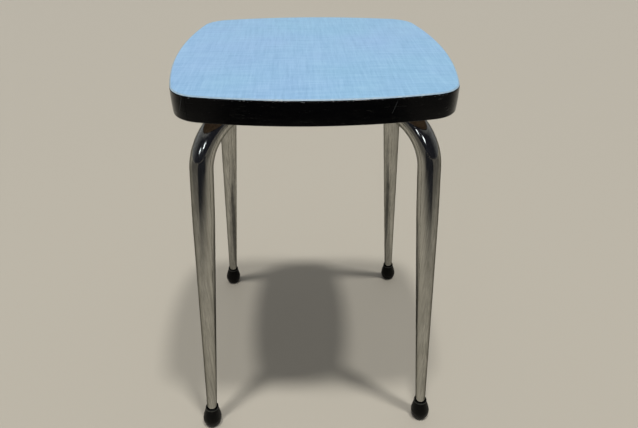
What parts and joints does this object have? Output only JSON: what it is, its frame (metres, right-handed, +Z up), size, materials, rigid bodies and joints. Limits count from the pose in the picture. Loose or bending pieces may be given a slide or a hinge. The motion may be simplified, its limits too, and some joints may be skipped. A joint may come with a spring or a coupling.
{
  "type": "kitchen stool",
  "caption": "Low backless stool: a rounded square laminated seat in a black edge band, on bent, tapered chrome tube legs with black rubber feet.",
  "frame": {"origin": "on the floor, under the middle of the seat and midway between the four feet", "axes": "+Z up through the middle of the seat; -Y is the front that the seat's near side faces; +X is the sitter's right hand when facing +Y. Each leg lies in an upright plane at 45 degrees to X and Y"},
  "size_m": [0.301, 0.301, 0.45],
  "materials": {
    "laminate": "pale blue linen-pattern decorative laminate, satin",
    "core_board": "raw wood board, unseen",
    "backing": "dark brown backing laminate, matte",
    "edge_band": "black plastic strip, glossy",
    "chrome": "chrome-plated steel tube, polished, lightly worn",
    "rubber": "black moulded rubber, satin",
    "steel": "plain zinc-plated steel"
  },
  "bodies": {
    "root": {"laminate_top": "laminate", "seat_core": "core_board", "backing_sheet": "backing", "edge_band": "edge_band", "leg_front_left": "chrome", "leg_front_right": "chrome", "leg_rear_left": "chrome", "leg_rear_right": "chrome", "ferrule_front_left": "rubber", "ferrule_front_right": "rubber", "ferrule_rear_left": "rubber", "ferrule_rear_right": "rubber", "washer_front_left": "steel", "washer_front_right": "steel", "washer_rear_left": "steel", "washer_rear_right": "steel", "screw_front_left_arm": "steel", "screw_front_left_left": "steel", "screw_front_left_right": "steel", "screw_front_right_arm": "steel", "screw_front_right_left": "steel", "screw_front_right_right": "steel", "screw_rear_left_arm": "steel", "screw_rear_left_left": "steel", "screw_rear_left_right": "steel", "screw_rear_right_arm": "steel", "screw_rear_right_left": "steel", "screw_rear_right_right": "steel"}
  },
  "joints": []
}
